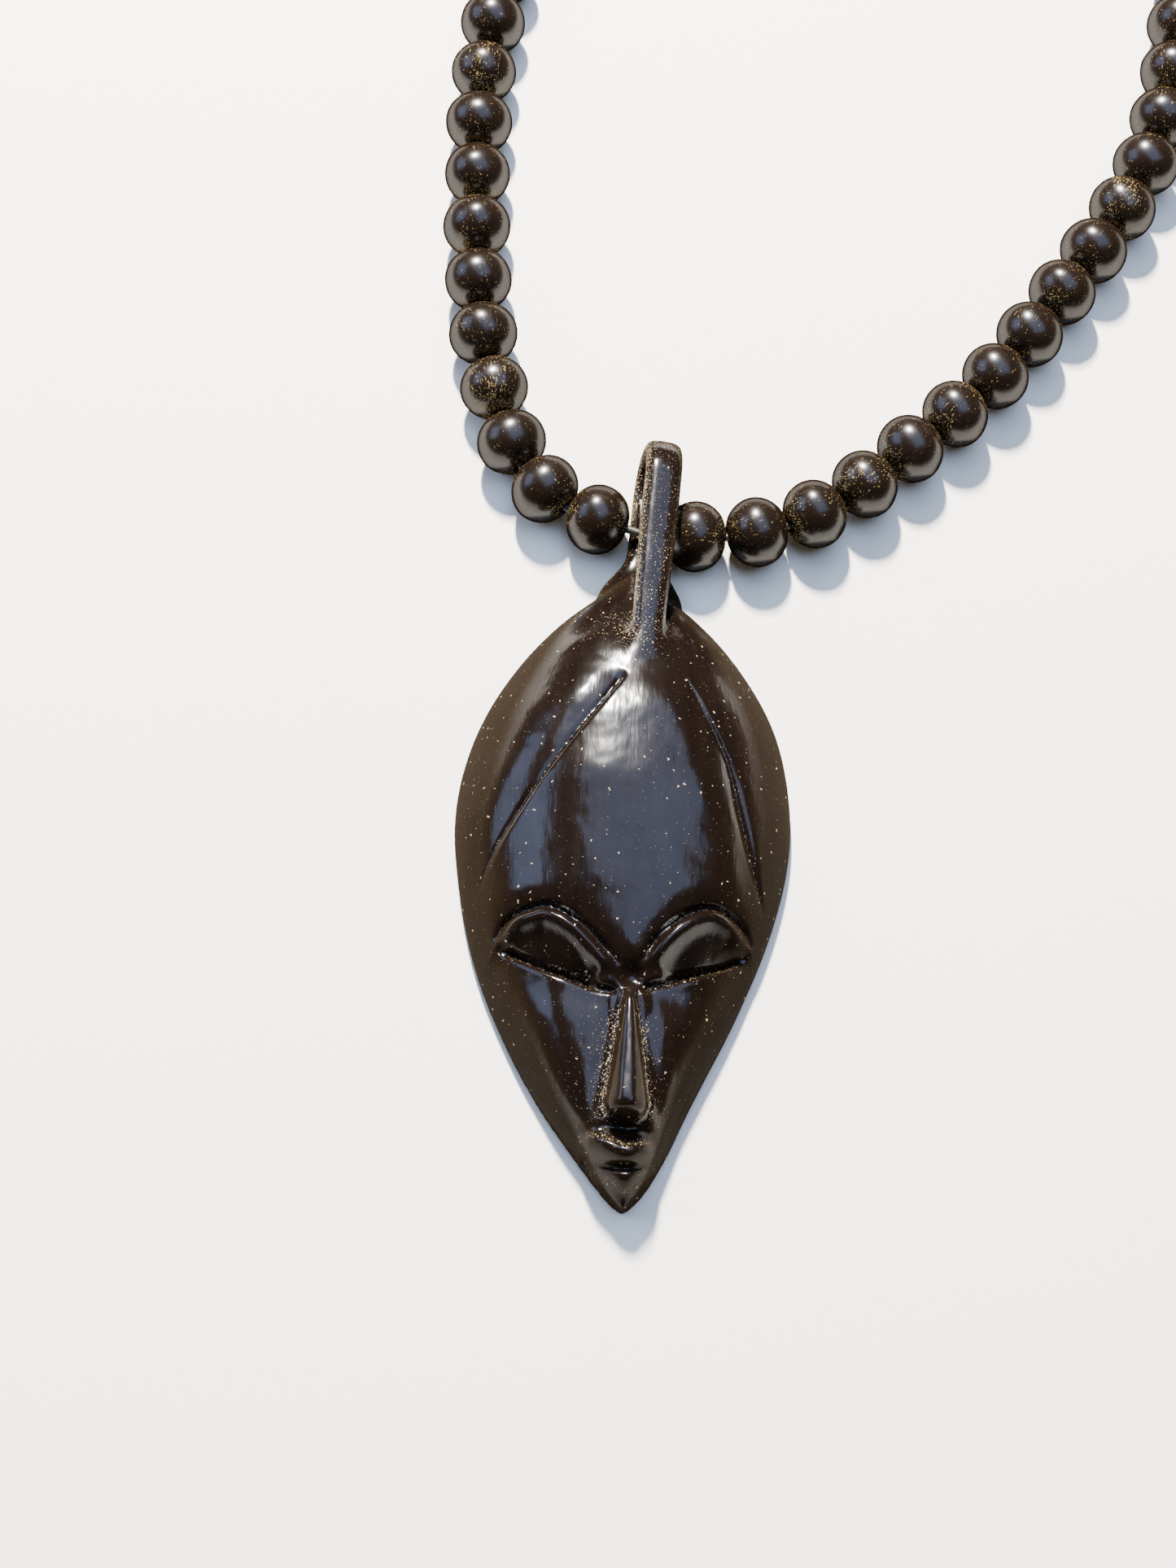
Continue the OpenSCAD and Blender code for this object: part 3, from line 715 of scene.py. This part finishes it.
link(bead_look, bead_wax.outputs[0], shader, "Coat Weight")
shader.inputs["Sheen Tint"].default_value = linear("#c8a468")
link(bead_look, coloured.outputs["Result"], shader, "Base Color")
link(bead_look, bead_rough.outputs["Result"], shader, "Roughness")
link(bead_look, bead_bump.outputs["Normal"], shader, "Normal")

around = 56
bulge = (bead_wide - bead_long) / 2
bore_turn = math.acos((bore_wide / 2 + 0.25 - bulge) / (bead_long / 2))
outline = [(-bead_long / 2 * math.sin(a), bulge + bead_long / 2 * math.cos(a))
           for a in np.linspace(bore_turn, -bore_turn, 31)]
end_x = outline[-1][0]
outline += [(end_x - 0.08, bore_wide / 2 + 0.06), (end_x - 0.3, bore_wide / 2), (0.8, bore_wide / 2),
            (-0.8, bore_wide / 2), (-end_x + 0.3, bore_wide / 2), (-end_x + 0.08, bore_wide / 2 + 0.06)]
ring = len(outline)
turn_angles = np.arange(around) * math.tau / around
profile = np.array(outline)
bead_corners = np.stack([np.repeat(profile[:, 0], around),
                         np.outer(profile[:, 1], np.cos(turn_angles)).ravel(),
                         np.outer(profile[:, 1], np.sin(turn_angles)).ravel()], 1)
bead_faces = [(i * around + j, i * around + (j + 1) % around,
               ((i + 1) % ring) * around + (j + 1) % around, ((i + 1) % ring) * around + j)
              for i in range(ring) for j in range(around)]
end_share = np.repeat(np.clip(np.abs(profile[:, 0]) / (bead_long / 2), 0, 1), around)
random = np.random.default_rng(41)


def beads(name, route, degrees, side, picks):
    """The beads of one piece, each turned, drilled and tumbled on its own, on their stretch of cord."""
    corners, faces, places, dusts = [], [], [], []
    for i in picks:
        centre = (route[i] + route[i + 1]) / 2
        way = heading(degrees[i], side)
        roll_angle, shift = random.uniform(0, math.tau), random.uniform(-50, 50, 3)
        shape = bead_corners.copy()
        c, s = math.cos(roll_angle), math.sin(roll_angle)
        shape[:, 1], shape[:, 2] = c * shape[:, 1] - s * shape[:, 2], s * shape[:, 1] + c * shape[:, 2]
        lumps = np.array([noise.noise(Vector(p) * 0.28 + Vector(shift)) for p in shape])
        size = random.uniform(1.0, 1.03)
        shape[:, 1:] *= (size + 0.022 * lumps)[:, None]
        world = np.stack([centre[0] + way[0] * shape[:, 0] - way[1] * shape[:, 1],
                          centre[1] + way[1] * shape[:, 0] + way[0] * shape[:, 1],
                          cord_height + shape[:, 2]], 1)
        faces += [tuple(k + len(corners) * len(shape) for k in f) for f in bead_faces]
        corners.append(world)
        places.append(shape + shift)
        top_dust = np.clip(shape[:, 2] / (bead_wide / 2), 0, 1) * random.uniform(0.1, 0.5)
        dusts.append(np.clip(0.15 + 0.85 * end_share ** 3 + top_dust, 0, 1) * random.uniform(0.6, 1.1))
    piece = mesh_piece(name, np.vstack(corners), faces, bead_look, 50)
    piece.data.attributes.new("bead_place", "FLOAT_VECTOR", "POINT").data.foreach_set(
        "vector", np.vstack(places).astype(np.float32).ravel())
    piece.data.attributes.new("dust", "FLOAT", "POINT").data.foreach_set(
        "value", np.concatenate(dusts).astype(np.float32))
    return piece


for side_name, route, degrees, side in (("left", left_a, left_front, -1), ("right", right_a, right_front, 1)):
    for i in range(len(degrees)):
        bead_name = f"bead_{side_name}_{i + 1:02d}"
        bead = beads(f"turned_{bead_name}", route, degrees, side, [i])
        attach(bead, bead_name)
        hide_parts(bead_name)
for row_name, body, route, degrees, side in (
    ("beads_left_side", "arm_left", left_b, left_side, -1),
    ("beads_left_top", "arm_left_top", left_c, left_top, -1),
    ("beads_right_side", "arm_right", right_b, right_side, 1),
    ("beads_right_top", "arm_right_top", right_c, right_top, 1),
):
    bead_row = beads(f"turned_{row_name}", route, degrees, side, range(len(degrees)))
    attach(bead_row, body)
    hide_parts(row_name)

# The clasp: a magnetic barrel of two turned brass cups, each holding a nickel-plated disc magnet in its
# open face. The cord's end is glued into the socket at a cup's back. The cups were turned on a lathe,
# with a collar at the cord and two grooves, and the fine tool marks run around them.
cup_wide = 6.0
socket_wide = 1.2
socket_deep = 2.2
magnet_wide = 4.0
magnet_thick = 2.0
groove_deep = 0.14
turned_brass, shader = new_material("turned_brass")
lathe_at = node(turned_brass, "ShaderNodeAttribute", attribute_name="lathe").outputs["Vector"]
where = node(turned_brass, "ShaderNodeTexCoord").outputs["Object"]
tool_marks = node(turned_brass, "ShaderNodeTexNoise", {"Vector": lathe_at, "Scale": 1 / 0.09, "Detail": 2})
tarnish = node(turned_brass, "ShaderNodeTexNoise", {"Vector": where, "Scale": 1 / (1.6 * mm), "Detail": 4})
brass_tone = node(turned_brass, "ShaderNodeMix", {"Factor": tarnish.outputs["Fac"], "A": linear("#cfa860"),
                  "B": linear("#a47f3f")}, data_type="RGBA")
brass_rough = node(turned_brass, "ShaderNodeMapRange", {"Value": tarnish.outputs["Fac"], "From Min": 0.3,
                   "From Max": 0.7, "To Min": 0.2, "To Max": 0.38})
mark_bump = node(turned_brass, "ShaderNodeBump", {"Height": tool_marks.outputs["Fac"], "Strength": 0.25,
                 "Distance": 0.02 * mm})
shader.inputs["Metallic"].default_value = 1
link(turned_brass, brass_tone.outputs["Result"], shader, "Base Color")
link(turned_brass, brass_rough.outputs["Result"], shader, "Roughness")
link(turned_brass, mark_bump.outputs["Normal"], shader, "Normal")
nickel, shader = new_material("nickel_plated_magnet")
where = node(nickel, "ShaderNodeTexCoord").outputs["Object"]
scuffs = node(nickel, "ShaderNodeTexNoise", {"Vector": where, "Scale": 1 / (0.5 * mm), "Detail": 4})
scuff_rough = node(nickel, "ShaderNodeMapRange", {"Value": scuffs.outputs["Fac"], "From Min": 0.35,
                   "From Max": 0.65, "To Min": 0.14, "To Max": 0.3})
shader.inputs["Metallic"].default_value = 1
shader.inputs["Base Color"].default_value = linear("#bdb9b0")
link(nickel, scuff_rough.outputs["Result"], shader, "Roughness")


def turned(name, profile, start, way, material):
    """A solid turned about its axis, from a profile that starts and ends on the axis."""
    around = 64
    across = np.array([-way[1], way[0]])
    spin = np.arange(around) * math.tau / around
    corners, lathe, rings = [], [], []
    for along, radius in profile:
        steps = spin if radius else [0.0]
        rings.append(range(len(corners), len(corners) + len(steps)))
        for a in steps:
            side, high = radius * math.cos(a), radius * math.sin(a)
            corners.append((*(start + along * way + side * across), cord_height + high))
            lathe.append((along, radius, 0))
    faces = []
    for near, far in zip(rings, rings[1:]):
        for j in range(around):
            k = (j + 1) % around
            corner_loop = [near[j % len(near)], near[k % len(near)], far[k % len(far)], far[j % len(far)]]
            faces.append(tuple(dict.fromkeys(corner_loop)))
    piece = mesh_piece(name, corners, faces, material, 35)
    bpy.ops.object.mode_set(mode="EDIT")
    bpy.ops.mesh.select_all(action="SELECT")
    bpy.ops.mesh.normals_make_consistent(inside=False)
    bpy.ops.object.mode_set(mode="OBJECT")
    piece.data.attributes.new("lathe", "FLOAT_VECTOR", "POINT").data.foreach_set(
        "vector", np.array(lathe, np.float32).ravel())
    return piece


cup_radius = cup_wide / 2
magnet_radius = magnet_wide / 2
socket_radius = socket_wide / 2
pocket_clear = 0.03
pocket_radius = magnet_radius + pocket_clear
shoulder = [(2.4 - 1.5 * math.cos(a), cup_radius - 1.3 + 1.3 * math.sin(a))
            for a in np.linspace(0.15, math.pi / 2, 9)]
grooves = [(g + step, cup_radius - deep) for g in (3.2, 3.9)
           for step, deep in ((0, 0), (0.08, groove_deep), (0.24, groove_deep), (0.32, 0))]
magnet_floor = cup_long - magnet_thick - 0.02
face_and_pocket = [(magnet_floor, 0), (magnet_floor, magnet_radius),
                   (magnet_floor + pocket_clear, pocket_radius), (cup_long - 0.12, pocket_radius),
                   (cup_long, magnet_radius + 0.15),
                   (cup_long, cup_radius - 0.25), (cup_long - 0.07, cup_radius - 0.07),
                   (cup_long - 0.25, cup_radius)]
collar_and_socket = [(0.8, 1.62), (0.7, 1.55), (0.15, 1.55), (0, 1.4), (0, socket_radius + 0.12),
                     (0.12, socket_radius), (socket_deep, socket_radius), (socket_deep, 0)]
cup_profile = face_and_pocket + grooves[::-1] + shoulder[::-1] + collar_and_socket
magnet_edge = [(0, 0.18), (0.04, 0.07), (0.15, 0.02)]
magnet_profile = ([(0, 0)] + [(along, magnet_radius - inset) for along, inset in magnet_edge]
                  + [(magnet_thick - along, magnet_radius - inset) for along, inset in magnet_edge[::-1]]
                  + [(magnet_thick, 0)])
for side_name, back_at, face_at, way in (("left", clasp_back_left, clasp_face_left, clasp_way),
                                         ("right", clasp_back_right, clasp_face_right, -clasp_way)):
    cup = turned(f"turned_clasp_cup_{side_name}", cup_profile, back_at, way, turned_brass)
    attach(cup, f"arm_{side_name}_top")
    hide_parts(f"clasp_cup_{side_name}")
    magnet = turned(f"disc_magnet_{side_name}", magnet_profile, face_at - magnet_thick * way, way, nickel)
    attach(magnet, f"arm_{side_name}_top")
    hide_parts(f"clasp_magnet_{side_name}")

# The floor: a plain pale sheet of paper, matt and seamless.
floor_look, shader = new_material("matt_pale_paper")
shader.inputs["Base Color"].default_value = linear("#faf3e6")
shader.inputs["Roughness"].default_value = 0.9
shader.inputs["Specular IOR Level"].default_value = 0.2
floor_half = 6000
floor_corners = [(i * floor_half, j * floor_half, 0) for i, j in ((-1, -1), (1, -1), (1, 1), (-1, 1))]
floor = mesh_piece("floor", floor_corners, [(0, 1, 2, 3)], floor_look)


# The light: a small warm key from beyond the strand, a wide cool panel overhead, a cool panel from the
# left and a dim warm surround.
def panel(name, at, aim_at, wide, long, watts, colour):
    light = bpy.data.lights.new(name, "AREA")
    light.shape = "RECTANGLE"
    light.size, light.size_y = wide, long
    light.energy = watts
    light.color = linear(colour)[:3]
    lamp = bpy.data.objects.new(name, light)
    lamp.location = at
    lamp.rotation_euler = (Vector(aim_at) - Vector(at)).to_track_quat("-Z", "Y").to_euler()
    bpy.context.scene.collection.objects.link(lamp)


panel("key", (-0.08, 0.46, 0.52), (0, 0.03, 0), 0.035, 0.09, 34, "#fffaf4")
panel("overhead", (0.16, 0.16, 0.80), (0, 0.05, 0), 0.9, 0.62, 9.5, "#a9c3f0")
panel("left sky", (-0.62, 0.20, 0.45), (-0.01, 0.02, 0), 0.5, 0.4, 4.5, "#a9c3f0")
world = bpy.data.worlds.new("studio")
bpy.context.scene.world = world
world.use_nodes = True
world.node_tree.nodes["Background"].inputs["Color"].default_value = linear("#e6dccb")
world.node_tree.nodes["Background"].inputs["Strength"].default_value = 0.16
